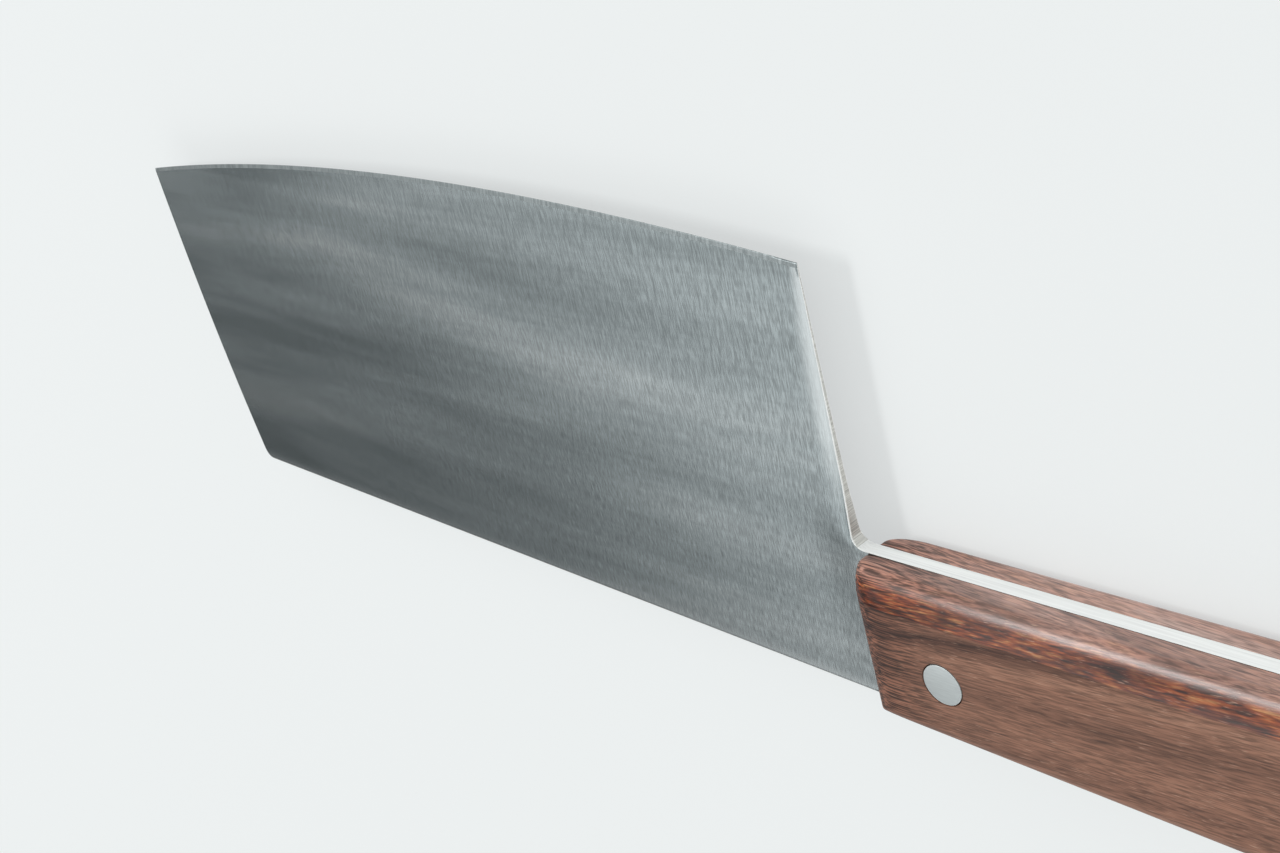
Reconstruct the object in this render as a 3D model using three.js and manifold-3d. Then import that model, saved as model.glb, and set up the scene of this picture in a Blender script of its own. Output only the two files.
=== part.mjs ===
// Chinese cleaver with a full tang: one steel blade, two wooden scales and two rivets of a sleeve and a pin.
// Millimetres, lying on its lower scale. x runs from the tip to the butt, with 0 at the heel's edge corner,
// y runs from the spine to the cutting edge and z from the steel's middle plane to the upper face.
import * as THREE from 'three';
import { mergeVertices } from 'three/addons/utils/BufferGeometryUtils.js';
import Module from 'manifold-3d';

const wasm = await Module();
wasm.setup();

// Blade outline
const EDGE_LENGTH = 225;          // heel corner to tip corner
const HEEL_HEIGHT = 81.5;         // spine to the heel corner
const TIP_HEIGHT = 82.8;          // spine to the tip corner
const EDGE_BOW = 6.4;             // how far the edge bows out between its corners
const HEEL_LEAN = 1.4;            // the heel's foot stands this far behind its edge corner
const TIP_LEAN = 8.1;             // the tip's spine corner stands this far behind its edge corner
const TIP_BOW = 1.6;
const TIP_CORNER_RADIUS = 3;
const HEEL_FILLET_RADIUS = 2.8;

// Blade section
const STEEL_THICKNESS = 2.9;
const SHOULDER_THICKNESS = 0.4;   // where the sharpened bevel starts
const BEVEL_WIDTH = 0.9;
const EDGE_LAND = 0.06;
const GRIND_POWER = 1.15;         // 1 would be a flat wedge, and more is fuller behind the edge
const GRIND_RUN_OUT = 7;          // length over which the grind fades into the tang
const TANG_SHOULDER = 0.6;        // full-thickness tang in front of the scales
const GRIND_FADE_HEIGHT = 7;      // the run-out fades this far above the tang's belly

// Handle
const BARE_TANG = 2.9;            // heel's foot to the front of the scales
const HANDLE_LENGTH = 112;
const HANDLE_HEIGHT = 30.2;       // at the front of the scales
const HANDLE_THICKNESS = 15;
const FRONT_THICKNESS = 10.6;     // the scales' front ends are rounded down to this
const BUTT_THICKNESS = 11;
const BELLY_RISE = 1.3;           // the belly leaves the spine's direction by this much over the handle
const BUTT_FLARE = 2;
const FLARE_LENGTH = 40;
const BUTT_BELLY_RADIUS = 9;
const BUTT_BACK_RADIUS = 14;
const FRONT_SLANT = 1.1;          // the scales' front leans back towards the spine
const BELLY_ROUND_ACROSS = 2.6;   // elliptic rounding of each scale's belly edge
const BELLY_ROUND_DOWN = 6.1;
const BACK_ROUND = 4.4;
const FRONT_BACK_ROUND = 0.6;     // the back's rounding where the scales start
const BUTT_BACK_ROUND = 1.8;      // and where they end
const BUTT_BELLY_ROUND = 2.4;
const FRONT_EASE_LENGTH = 8;      // length of the rounding at the scales' front
const FRONT_EASE_BELLY = 0.6;
const FRONT_EASE_BACK = 0.3;
const BUTT_EASE_LENGTH = 5;

// Rivets
const HEAD_DIAMETER = 7.6;
const HEAD_HEIGHT = 2;
const SLEEVE_DIAMETER = 5;
const PIN_DIAMETER = 3;
const RIVET_CLEARANCE = 0.2;
const FRONT_RIVET_SETBACK = 17.4; // from the front of the scales
const REAR_RIVET_SETBACK = 18;    // from the butt
const RIVET_HEIGHT = 13;          // above the back of the handle

// Facets
const ROUND_SIDES = 40;
const ARC_STEPS = 8;
const BLADE_STEPS = 18;
const WELD_DISTANCE = 1e-4;
const TANG_ROWS = [0, 0.3, 0.6, 0.8, 1];              // shares of the height beside the tang
const GRIND_ROWS = [0.15, 0.3, 0.5, 0.7, 0.85, 1];    // shares of the height above it

const HALF_STEEL = STEEL_THICKNESS / 2;
const HALF_HANDLE = HANDLE_THICKNESS / 2;
const SCALE_FRONT = HEEL_LEAN + BARE_TANG;
const BUTT = SCALE_FRONT + HANDLE_LENGTH;
const SEAT = HALF_HANDLE - HEAD_HEIGHT;                 // height of the rivet heads' seats
const SLEEVE_END = -SEAT + 2 * RIVET_CLEARANCE;
const PIN_END = SEAT - PIN_DIAMETER / 2;
const CUT_MARGIN = 6;             // cutting bodies reach this far past what they cut

const steel = () => new THREE.MeshStandardMaterial({ color: 0x9aa3a3, roughness: 0.38, metalness: 1 });
const wood = () => new THREE.MeshStandardMaterial({ color: 0x74503f, roughness: 0.6, metalness: 0 });
const rivetMetal = () => new THREE.MeshStandardMaterial({ color: 0xbec3c3, roughness: 0.35, metalness: 1 });

const smooth = (q) => THREE.MathUtils.smoothstep(q, 0, 1);
const bow = (q) => 4 * q * (1 - q);

// Solids for boolean cuts
function toSolid(geometry) {
  geometry.deleteAttribute('normal');
  geometry.deleteAttribute('uv');
  const merged = mergeVertices(geometry, WELD_DISTANCE);
  const triangles = [];
  for (let i = 0; i < merged.index.count; i += 3) {
    const corners = merged.index.array.slice(i, i + 3);
    if (new Set(corners).size === 3) triangles.push(...corners);
  }
  return new wasm.Manifold(new wasm.Mesh({
    numProp: 3,
    vertProperties: new Float32Array(merged.attributes.position.array),
    triVerts: new Uint32Array(triangles),
  }));
}

function toGeometry(solid) {
  const mesh = solid.getMesh();
  const geometry = new THREE.BufferGeometry();
  geometry.setAttribute('position', new THREE.BufferAttribute(mesh.vertProperties, mesh.numProp));
  geometry.setIndex(new THREE.BufferAttribute(mesh.triVerts, 1));
  return geometry;
}

// A closed skin through rings of equal point count, capped at both ends
function loft(rings) {
  const count = rings[0].length;
  const index = [];
  for (let i = 0; i + 1 < rings.length; i++) {
    for (let j = 0; j < count; j++) {
      const a = i * count + j;
      const b = i * count + ((j + 1) % count);
      index.push(a, b, b + count, a, b + count, a + count);
    }
  }
  const last = (rings.length - 1) * count;
  const flat = (ring) => ring.map((p) => new THREE.Vector2(p.y, p.z));
  for (const [a, b, c] of THREE.ShapeUtils.triangulateShape(flat(rings[0]), [])) index.push(a, c, b);
  for (const [a, b, c] of THREE.ShapeUtils.triangulateShape(flat(rings.at(-1)), [])) {
    index.push(last + a, last + b, last + c);
  }
  const geometry = new THREE.BufferGeometry().setFromPoints(rings.flat());
  geometry.setIndex(index);
  return geometry;
}

// An outline as a plate across the whole thickness
function plate(points) {
  const depth = HANDLE_THICKNESS + 2 * CUT_MARGIN;
  const geometry = new THREE.ExtrudeGeometry(new THREE.Shape(points), { depth, bevelEnabled: false });
  return toSolid(geometry.translate(0, 0, -depth / 2));
}

// A rod along z between two heights
function rod(radius, x, y, from, to) {
  const geometry = new THREE.CylinderGeometry(radius, radius, to - from, ROUND_SIDES);
  return toSolid(geometry.rotateX(Math.PI / 2).translate(x, y, (from + to) / 2));
}

// Points of the arc that rounds the corner between two straight runs
function fillet(before, corner, after, radius) {
  const toBefore = before.clone().sub(corner).normalize();
  const toAfter = after.clone().sub(corner).normalize();
  const half = toBefore.angleTo(toAfter) / 2;
  const toCentre = toBefore.clone().add(toAfter).normalize();
  const centre = corner.clone().addScaledVector(toCentre, radius / Math.sin(half));
  const start = corner.clone().addScaledVector(toBefore, radius / Math.tan(half)).sub(centre);
  const end = corner.clone().addScaledVector(toAfter, radius / Math.tan(half)).sub(centre);
  const turn = Math.atan2(start.cross(end), start.dot(end));
  const points = [];
  for (let i = 0; i <= ARC_STEPS; i++) {
    points.push(start.clone().rotateAround(new THREE.Vector2(), turn * i / ARC_STEPS).add(centre));
  }
  return points;
}

// Lines of the blade
function edgeY(x) {
  const q = -x / EDGE_LENGTH;
  return THREE.MathUtils.lerp(HEEL_HEIGHT, TIP_HEIGHT, q) + EDGE_BOW * bow(q);
}

function heelX(y) {
  return HEEL_LEAN * (HEEL_HEIGHT - y) / (HEEL_HEIGHT - HANDLE_HEIGHT);
}

function tipX(y) {
  const q = y / TIP_HEIGHT;
  return -EDGE_LENGTH + TIP_LEAN * (1 - q) - TIP_BOW * bow(q);
}

// Lines of the handle, at a distance s behind the front of the scales
function buttDrop(s, radius) {
  const past = Math.max(0, s - (HANDLE_LENGTH - radius));
  return radius - Math.sqrt(Math.max(0, radius * radius - past * past));
}

function bellyLine(s) {
  const flare = BUTT_FLARE * smooth((s - HANDLE_LENGTH + FLARE_LENGTH) / FLARE_LENGTH);
  return HANDLE_HEIGHT + BELLY_RISE * s / HANDLE_LENGTH + flare - buttDrop(s, BUTT_BELLY_RADIUS);
}

function backLine(s) {
  return buttDrop(s, BUTT_BACK_RADIUS);
}

function handleX(s, y) {
  return SCALE_FRONT + s + FRONT_SLANT * (1 - y / HANDLE_HEIGHT) * (1 - s / HANDLE_LENGTH);
}

// Shares of the rounding that is left at a distance from the scales' front and butt
const quarterRound = (q) => 1 - Math.sqrt(1 - (1 - Math.min(1, q)) ** 2);
const frontEase = (s) => quarterRound(s / FRONT_EASE_LENGTH);
const buttEase = (s) => quarterRound((HANDLE_LENGTH - s) / BUTT_EASE_LENGTH);

// Stations along the handle: close together where the ends are rounded
function handleStations() {
  const stations = [];
  for (let i = 0; i <= ARC_STEPS; i++) {
    stations.push(FRONT_EASE_LENGTH * (1 - Math.cos(Math.PI / 2 * i / ARC_STEPS)));
  }
  for (let i = 0; i < ARC_STEPS; i++) {
    stations.push(HANDLE_LENGTH - FLARE_LENGTH + (FLARE_LENGTH - BUTT_BACK_RADIUS) * i / ARC_STEPS);
  }
  for (let i = 0; i <= ARC_STEPS; i++) {
    stations.push(HANDLE_LENGTH - BUTT_BACK_RADIUS * (1 - Math.sin(Math.PI / 2 * i / ARC_STEPS)));
  }
  return stations;
}

const stations = handleStations();
const rivetXs = [SCALE_FRONT + FRONT_RIVET_SETBACK, BUTT - REAR_RIVET_SETBACK];

// Half thickness of the steel: a convex grind from the spine to the sharpened bevel, full over the tang
function halfSteel(x, y) {
  const q = THREE.MathUtils.clamp(y / (edgeY(x) - BEVEL_WIDTH), 0, 1);
  const ground = SHOULDER_THICKNESS / 2 + (HALF_STEEL - SHOULDER_THICKNESS / 2) * (1 - q ** GRIND_POWER);
  const along = smooth((x - (SCALE_FRONT - TANG_SHOULDER)) / GRIND_RUN_OUT + 1);
  const across = 1 - smooth((y - HANDLE_HEIGHT - TANG_SHOULDER) / GRIND_FADE_HEIGHT);
  return THREE.MathUtils.lerp(ground, HALF_STEEL, along * across);
}

function bladeRing(x) {
  const knee = HANDLE_HEIGHT + TANG_SHOULDER;
  const shoulder = edgeY(x) - BEVEL_WIDTH;
  const side = [];
  for (const q of TANG_ROWS) {
    const y = THREE.MathUtils.lerp(-CUT_MARGIN, knee, q);
    side.push(new THREE.Vector3(x, y, halfSteel(x, y)));
  }
  for (const q of GRIND_ROWS) {
    const y = THREE.MathUtils.lerp(knee, shoulder, q);
    side.push(new THREE.Vector3(x, y, halfSteel(x, y)));
  }
  side.push(new THREE.Vector3(x, edgeY(x), EDGE_LAND / 2));
  const other = side.map((p) => new THREE.Vector3(p.x, p.y, -p.z)).reverse();
  return [...side, ...other].reverse();
}

function bladeOutline() {
  const top = Math.max(HEEL_HEIGHT, TIP_HEIGHT) + EDGE_BOW + CUT_MARGIN;
  const point = (x, y) => new THREE.Vector2(x, y);
  const foot = point(heelX(HANDLE_HEIGHT), HANDLE_HEIGHT);
  const tipFoot = point(tipX(0), 0);
  const belly = stations.map((s) => point(handleX(s, bellyLine(s)), bellyLine(s)));
  const back = stations.map((s) => point(handleX(s, backLine(s)), backLine(s))).reverse();
  const outline = [point(heelX(top), top)];
  outline.push(...fillet(point(heelX(top), top), foot, belly[1], HEEL_FILLET_RADIUS));
  outline.push(...belly.filter((p) => p.x > SCALE_FRONT + HEEL_FILLET_RADIUS));
  outline.push(...back.filter((p) => p.y > 0), point(handleX(HANDLE_LENGTH - BUTT_BACK_RADIUS, 0), 0));
  const tipSide = point(tipX(TIP_HEIGHT / ARC_STEPS), TIP_HEIGHT / ARC_STEPS);
  outline.push(...fillet(point(0, 0), tipFoot, tipSide, TIP_CORNER_RADIUS));
  for (let i = 1; i <= ARC_STEPS; i++) {
    const y = TIP_HEIGHT * i / ARC_STEPS;
    outline.push(point(tipX(y), y));
  }
  outline.push(point(tipX(TIP_HEIGHT), top));
  return outline;
}

function makeBlade() {
  const tangStart = SCALE_FRONT - TANG_SHOULDER;
  const grindStart = tangStart - GRIND_RUN_OUT;
  const rings = [];
  for (let i = 0; i < BLADE_STEPS; i++) {
    rings.push(bladeRing(THREE.MathUtils.lerp(-EDGE_LENGTH - CUT_MARGIN, grindStart, i / BLADE_STEPS)));
  }
  for (let i = 0; i <= ARC_STEPS; i++) {
    rings.push(bladeRing(grindStart + GRIND_RUN_OUT * i / ARC_STEPS));
  }
  rings.push(bladeRing(BUTT + CUT_MARGIN));
  let blade = toSolid(loft(rings)).intersect(plate(bladeOutline()));
  for (const x of rivetXs) {
    const radius = SLEEVE_DIAMETER / 2 + RIVET_CLEARANCE;
    blade = blade.subtract(rod(radius, x, RIVET_HEIGHT, -HANDLE_THICKNESS, HANDLE_THICKNESS));
  }
  return toGeometry(blade);
}

// One scale's section: flat on the tang, rounded at the belly and at the back
function scaleRing(s) {
  const front = frontEase(s);
  const butt = buttEase(s);
  const eased = (full, atFront, atButt) => full + (atFront - full) * front + (atButt - full) * butt;
  const half = eased(HANDLE_THICKNESS, FRONT_THICKNESS, BUTT_THICKNESS) / 2;
  const round = eased(BACK_ROUND, FRONT_BACK_ROUND, BUTT_BACK_ROUND);
  const down = eased(BELLY_ROUND_DOWN, BELLY_ROUND_DOWN, BUTT_BELLY_ROUND);
  const belly = bellyLine(s) - FRONT_EASE_BELLY * front;
  const back = backLine(s) + FRONT_EASE_BACK * front;
  const at = (y, z) => new THREE.Vector3(handleX(s, y), y, z);
  const ring = [at(back, HALF_STEEL)];
  for (let i = 0; i <= ARC_STEPS; i++) {
    const turn = Math.PI / 2 * i / ARC_STEPS;
    ring.push(at(back + round * (1 - Math.cos(turn)), half - round * (1 - Math.sin(turn))));
  }
  for (let i = 0; i <= ARC_STEPS; i++) {
    const turn = Math.PI / 2 * i / ARC_STEPS;
    ring.push(at(belly - down * (1 - Math.sin(turn)), half - BELLY_ROUND_ACROSS * (1 - Math.cos(turn))));
  }
  ring.push(at(belly, HALF_STEEL));
  return ring;
}

function makeScale(side) {
  let scale = toSolid(loft(stations.map((s) => scaleRing(s).reverse())));
  for (const x of rivetXs) {
    const head = rod(HEAD_DIAMETER / 2 + RIVET_CLEARANCE, x, RIVET_HEIGHT, SEAT, HANDLE_THICKNESS);
    const sleeve = rod(SLEEVE_DIAMETER / 2 + RIVET_CLEARANCE, x, RIVET_HEIGHT, 0, HANDLE_THICKNESS);
    scale = scale.subtract(head).subtract(sleeve);
  }
  return toGeometry(side > 0 ? scale : scale.mirror([0, 0, 1]));
}

// A rivet half turned about z from a profile of [radius, height] pairs
function turned(profile) {
  const points = profile.map(([radius, height]) => new THREE.Vector2(radius, height));
  return toGeometry(toSolid(new THREE.LatheGeometry(points, ROUND_SIDES).rotateX(Math.PI / 2)));
}

function makeSleeve() {
  const bore = PIN_DIAMETER / 2 + RIVET_CLEARANCE;
  const boreEnd = PIN_END + 2 * RIVET_CLEARANCE;
  return turned([
    [0, boreEnd],
    [bore, boreEnd],
    [bore, SLEEVE_END],
    [SLEEVE_DIAMETER / 2, SLEEVE_END],
    [SLEEVE_DIAMETER / 2, SEAT],
    [HEAD_DIAMETER / 2, SEAT],
    [HEAD_DIAMETER / 2, HALF_HANDLE],
    [0, HALF_HANDLE],
  ]);
}

function makePin() {
  return turned([
    [0, -HALF_HANDLE],
    [HEAD_DIAMETER / 2, -HALF_HANDLE],
    [HEAD_DIAMETER / 2, -SEAT],
    [PIN_DIAMETER / 2, -SEAT],
    [PIN_DIAMETER / 2, PIN_END],
    [0, PIN_END],
  ]);
}

function named(name, geometry, material) {
  const mesh = new THREE.Mesh(geometry, material);
  mesh.name = name;
  return mesh;
}

const knife = new THREE.Group();
knife.add(named('blade_and_tang', makeBlade(), steel()));
knife.add(named('upper_scale', makeScale(1), wood()));
knife.add(named('lower_scale', makeScale(-1), wood()));
['front', 'rear'].forEach((place, i) => {
  const sleeve = named(`${place}_rivet_sleeve`, makeSleeve(), rivetMetal());
  const pin = named(`${place}_rivet_pin`, makePin(), rivetMetal());
  for (const half of [sleeve, pin]) {
    half.position.set(rivetXs[i], RIVET_HEIGHT, 0);
    knife.add(half);
  }
});

// The frame's origin lies under the middle of the knife, on the surface that it rests on
const box = new THREE.Box3().setFromObject(knife);
const middle = box.getCenter(new THREE.Vector3());
knife.position.set(-middle.x, -middle.y, -box.min.z);

const cleaver = new THREE.Group();
cleaver.add(knife);

export default cleaver;
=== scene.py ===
import math

import bmesh
import bpy
from mathutils import Euler, Matrix, Vector


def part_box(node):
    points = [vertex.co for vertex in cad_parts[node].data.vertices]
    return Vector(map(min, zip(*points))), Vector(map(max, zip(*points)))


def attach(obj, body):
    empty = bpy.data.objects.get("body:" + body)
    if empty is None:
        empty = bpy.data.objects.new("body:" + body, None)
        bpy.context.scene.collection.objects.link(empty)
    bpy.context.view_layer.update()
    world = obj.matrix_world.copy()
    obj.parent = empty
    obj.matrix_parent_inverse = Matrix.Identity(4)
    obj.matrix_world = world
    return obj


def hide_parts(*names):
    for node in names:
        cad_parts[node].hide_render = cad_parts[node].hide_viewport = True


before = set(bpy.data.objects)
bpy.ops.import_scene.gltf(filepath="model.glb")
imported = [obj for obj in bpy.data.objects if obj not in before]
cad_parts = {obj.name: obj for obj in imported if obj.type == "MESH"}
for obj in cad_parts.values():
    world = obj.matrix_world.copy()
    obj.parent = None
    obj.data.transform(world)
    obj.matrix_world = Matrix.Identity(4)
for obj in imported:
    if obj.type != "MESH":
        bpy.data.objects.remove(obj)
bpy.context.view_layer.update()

# Sizes are in millimetres, on the knife's own axes: x runs from the heel's edge corner towards the butt,
# y from the spine to the cutting edge, z from the middle of the steel.
MM = 0.001

# Blade outline
EDGE_LENGTH = 225.0
HEEL_HEIGHT = 81.5
TIP_HEIGHT = 82.8
EDGE_BOW = 6.4             # how far the cutting edge swells between its corners
HEEL_LEAN = 1.4            # how far the heel's foot lies behind its edge corner
TIP_LEAN = 8.1             # how far the tip's spine corner lies behind its edge corner
TIP_BOW = 1.6
TIP_CORNER_RADIUS = 3.0
HEEL_FILLET_RADIUS = 2.8

# Blade section
STEEL_THICKNESS = 2.9
SHOULDER_THICKNESS = 0.4   # where the sharpened bevel begins
BEVEL_WIDTH = 0.9
EDGE_LAND = 0.06           # thickness left on the cutting edge
GRIND_POWER = 1.15
GRIND_RUN_OUT = 12.0       # length over which the grind runs out into the tang
GRIND_FADE_HEIGHT = 12.0   # height above the tang over which it does so
TANG_SHOULDER = 0.6        # how far the full thickness reaches past the wood
STEEL_EASE = 0.2           # rounding of the blade's rim
TANG_EASE = 0.03           # and of the tang's, which is flush with the wood
EASE_SHARE = 0.4           # most of half the thickness that a rounding takes
HEEL_ROLL_DEPTH = 0.2      # how far the belt has rolled the faces over at the heel
HEEL_ROLL_SHARE = 1 / 3    # most of half the thickness that the roll takes
HEEL_ROLL_ENDS = 1.8       # width of that roll at the foot and at the cutting edge
HEEL_ROLL_MIDDLE = 4.6     # and halfway up
HEEL_PAINTED_HIGHLIGHT = 0.8         # how bright the heel's roll is painted: a painted highlight
HEEL_HIGHLIGHT_RISE = 0.5    # share of the heel's height over which that sets in
SPINE_PAINTED_SHEEN = 0.4        # how bright the band along the spine is painted: a painted sheen
SPINE_SHEEN_BAND = 3.0           # width of that band

# Handle
BARE_TANG = 2.9            # tang between the heel and the wood
HANDLE_LENGTH = 112.0
HANDLE_HEIGHT = 30.2       # at the front
HANDLE_THICKNESS = 15.0
FRONT_THICKNESS = 10.6
BUTT_THICKNESS = 11.0
BELLY_RISE = 1.3           # how much the belly rises along the whole handle
BUTT_FLARE = 2.0           # how much more it rises over the flare before the butt
FLARE_LENGTH = 40.0
BUTT_BELLY_RADIUS = 9.0
BUTT_BACK_RADIUS = 14.0
FRONT_SLANT = 1.1
BELLY_ROUND_ACROSS = 2.6   # the belly's elliptic rounding, through the handle
BELLY_ROUND_DOWN = 6.1     # and down its side
BACK_ROUND = 4.4
FRONT_BACK_ROUND = 0.6
BUTT_BACK_ROUND = 1.8
BUTT_BELLY_ROUND = 2.4
FRONT_EASE_LENGTH = 8.0
FRONT_EASE_BELLY = 0.6
FRONT_EASE_BACK = 0.3
BUTT_EASE_LENGTH = 5.0
END_LIP = 0.14             # rounding of the wood's end edges
WOOD_ARRIS = 0.16          # chamfer of the wood's edges along the tang

# Rivets
HEAD_DIAMETER = 7.6
HEAD_HEIGHT = 2.0
HEAD_EASE = 0.12
SLEEVE_DIAMETER = 5.0
PIN_DIAMETER = 3.0
RIVET_CLEARANCE = 0.2
RIVET_END_GAP = 0.4        # left at the ends of the pin and the sleeve
HOLE_FLARE = 0.1           # chamfer round the rivet holes in the wood

HALF_STEEL = STEEL_THICKNESS / 2
HALF_HANDLE = HANDLE_THICKNESS / 2
SHOULDER_HEIGHT = HEEL_HEIGHT - BEVEL_WIDTH
SCALE_FRONT = HEEL_LEAN + BARE_TANG
BUTT = SCALE_FRONT + HANDLE_LENGTH
SEAT = HALF_HANDLE - HEAD_HEIGHT    # where the rivet heads sit in the wood
SLEEVE_HOLE_RADIUS = SLEEVE_DIAMETER / 2 + RIVET_CLEARANCE

blade_low, blade_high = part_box("blade_and_tang")
KNIFE_ORIGIN = Vector((blade_high.x - BUTT * MM, blade_low.y, (blade_low.z + blade_high.z) / 2))

# Fineness of the meshes
STEP_GROWTH = 1.3          # by which each step is longer than the last, away from an edge
ROUND_STEPS = 3            # round the small roundings of the metal
ARC_STEPS = 12             # round each long edge of the wood
FLAT_STEPS = 6             # across the wood's flat sides
SPIN_STEPS = 96            # round the rivets and their holes
WELD = 1e-4                # distance within which points are joined


def lerp(a, b, q):
    return a + (b - a) * q


def clamped(q):
    return min(1.0, max(0.0, q))


def smooth(q):
    q = clamped(q)
    return q * q * (3 - 2 * q)


def bow(q):
    """A parabola that is 0 at both ends and 1 halfway."""
    return 4 * q * (1 - q)


def quarter_round(q):
    """A quarter circle that falls from 1 at 0 and runs out at 1."""
    return 1 - math.sqrt(1 - (1 - min(1.0, q)) ** 2)


def graded(length, first, largest):
    """Distances from 0 to length, in steps that start short and grow to the largest."""
    steps = []
    step = first
    while sum(steps) < length:
        steps.append(step)
        step = min(step * STEP_GROWTH, largest)
    stretch = length / sum(steps)
    return [stretch * sum(steps[:i]) for i in range(len(steps) + 1)]


def graded_both(length, first, last, largest):
    """Distances from 0 to length, close together at both ends."""
    start = graded(length / 2, first, largest)
    end = graded(length / 2, last, largest)
    return start + [length - d for d in reversed(end[:-1])]


# Lines of the blade
def edge_y(x):
    q = -x / EDGE_LENGTH
    return lerp(HEEL_HEIGHT, TIP_HEIGHT, q) + EDGE_BOW * bow(q)


def heel_x(y):
    return HEEL_LEAN * (HEEL_HEIGHT - y) / (HEEL_HEIGHT - HANDLE_HEIGHT)


def tip_x(y):
    q = y / TIP_HEIGHT
    return -EDGE_LENGTH + TIP_LEAN * (1 - q) - TIP_BOW * bow(q)


def up_the_heel(y):
    """How far along the heel a height lies, from its foot at the handle (0) to the cutting edge (1)."""
    return clamped((y - HANDLE_HEIGHT) / (HEEL_HEIGHT - HANDLE_HEIGHT))


def heel_nearness(x, y):
    """1 on the heel's edge, falling to 0 where its roll begins."""
    width = lerp(HEEL_ROLL_ENDS, HEEL_ROLL_MIDDLE, bow(up_the_heel(y)))
    return clamped(1 - (heel_x(y) - x) / width)


def half_steel(x, y):
    """Half the steel's thickness: ground from spine to edge, full over the tang, rolled at the heel."""
    q = clamped(y / (edge_y(x) - BEVEL_WIDTH))
    ground = lerp(HALF_STEEL, SHOULDER_THICKNESS / 2, q ** GRIND_POWER)
    above_tang = y - HANDLE_HEIGHT - TANG_SHOULDER
    along = smooth((x - (SCALE_FRONT - TANG_SHOULDER)) / GRIND_RUN_OUT + 1)
    across = 1 - smooth(above_tang / GRIND_FADE_HEIGHT)
    half = lerp(ground, HALF_STEEL, along * across)
    depth = min(HEEL_ROLL_DEPTH, half * HEEL_ROLL_SHARE)
    rolled = smooth(above_tang / HEEL_FILLET_RADIUS)
    return half - depth * rolled * heel_nearness(x, y) ** 2


def painted_highlight(x, y):
    """How bright the faces are painted, a painted highlight: most at the heel's edge, and a little along the
    spine.
    """
    rise = smooth(up_the_heel(y) / HEEL_HIGHLIGHT_RISE)
    heel = HEEL_PAINTED_HIGHLIGHT * rise * smooth(heel_nearness(x, y))
    spine = SPINE_PAINTED_SHEEN * smooth(1 - y / SPINE_SHEEN_BAND)
    return max(heel, spine)


# Lines of the handle, at a distance s behind the front of the scales
def butt_drop(s, radius):
    """How far a corner of this radius draws a line in at the butt."""
    past = max(0.0, s - (HANDLE_LENGTH - radius))
    return radius - math.sqrt(max(0.0, radius * radius - past * past))


def belly_line(s):
    flare = BUTT_FLARE * smooth((s - HANDLE_LENGTH + FLARE_LENGTH) / FLARE_LENGTH)
    return HANDLE_HEIGHT + BELLY_RISE * s / HANDLE_LENGTH + flare - butt_drop(s, BUTT_BELLY_RADIUS)


def back_line(s):
    return butt_drop(s, BUTT_BACK_RADIUS)


def handle_x(s, y):
    return SCALE_FRONT + s + FRONT_SLANT * (1 - y / HANDLE_HEIGHT) * (1 - s / HANDLE_LENGTH)


# Sockets of the Mix node by number: its factor, two numbers, two colours, and the mixed colour
MIX_FACTOR, MIX_FLOAT_A, MIX_FLOAT_B, MIX_A, MIX_B = 0, 2, 3, 6, 7
MIX_COLOR = 2
MIXED = {"data_type": "RGBA"}
MULTIPLIED = {"data_type": "RGBA", "blend_type": "MULTIPLY"}


def srgb(code):
    """A hex colour as linear light with full alpha."""
    channels = [int(code[i:i + 2], 16) / 255 for i in (1, 3, 5)]
    linear = [c / 12.92 if c <= 0.04045 else ((c + 0.055) / 1.055) ** 2.4 for c in channels]
    return (*linear, 1.0)


def add(tree, kind, inputs=None, stops=None, **settings):
    """Adds a shader node: inputs are values or links by socket, stops a ramp's colours by position."""
    node = tree.nodes.new("ShaderNode" + kind)
    for name, value in settings.items():
        setattr(node, name, value)
    for socket, value in (inputs or {}).items():
        if isinstance(value, bpy.types.NodeSocket):
            tree.links.new(value, node.inputs[socket])
        else:
            node.inputs[socket].default_value = value
    for i, (position, colour) in enumerate((stops or {}).items()):
        elements = node.color_ramp.elements
        stop = elements[i] if i < 2 else elements.new(position)
        stop.position = position
        stop.color = srgb(colour)
    return node


def sized_noise(tree, place, sizes, detail, turn=(0.0, 0.0, 0.0), roughness=0.5):
    """Outputs of a noise whose unit has these sizes in millimetres, turned by these degrees."""
    unit = [s * MM for s in sizes]
    turned = [math.radians(t) for t in turn]
    placing = {"Vector": place, "Rotation": turned, "Scale": unit}
    drawn = add(tree, "Mapping", placing, vector_type="TEXTURE").outputs[0]
    grains = {"Vector": drawn, "Scale": 1.0, "Detail": detail, "Roughness": roughness}
    return add(tree, "TexNoise", grains).outputs


def new_material(name):
    material = bpy.data.materials.new(name)
    material.use_nodes = True
    material.node_tree.nodes.clear()
    return material


def shade(material, inputs):
    """Ends a material in one shader with these inputs."""
    tree = material.node_tree
    shader = add(tree, "BsdfPrincipled", inputs)
    add(tree, "OutputMaterial", {"Surface": shader.outputs["BSDF"]})
    return material


# Bands that the belt left on the blade. Sizes are in millimetres along the blade, from spine to edge and
# through it.
BAND_SIZE = (110, 11, 11)
BAND_SWAY_SIZE = (150, 30, 30)
BAND_SWAY_WIDTH = 12.0
BAND_DEPTH = 0.07
BAND_EVEN = 0.6                                # level of the pattern where no band shows
BANDS_AT_TIP, BANDS_AT_HEEL = 1.0, 0.3         # how strongly they show
# The bands' tones: partly real unevenness, partly a painted reflection of light and dark streaks
PAINTED_REFLECTION_BAND_TONES = {0.39: "#929B9D", 0.57: "#BCC5C7", 0.75: "#E4EBEC"}
BAND_ROUGHNESS = {"From Min": 0.37, "From Max": 0.77, "To Min": 0.27, "To Max": 0.22}

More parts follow.
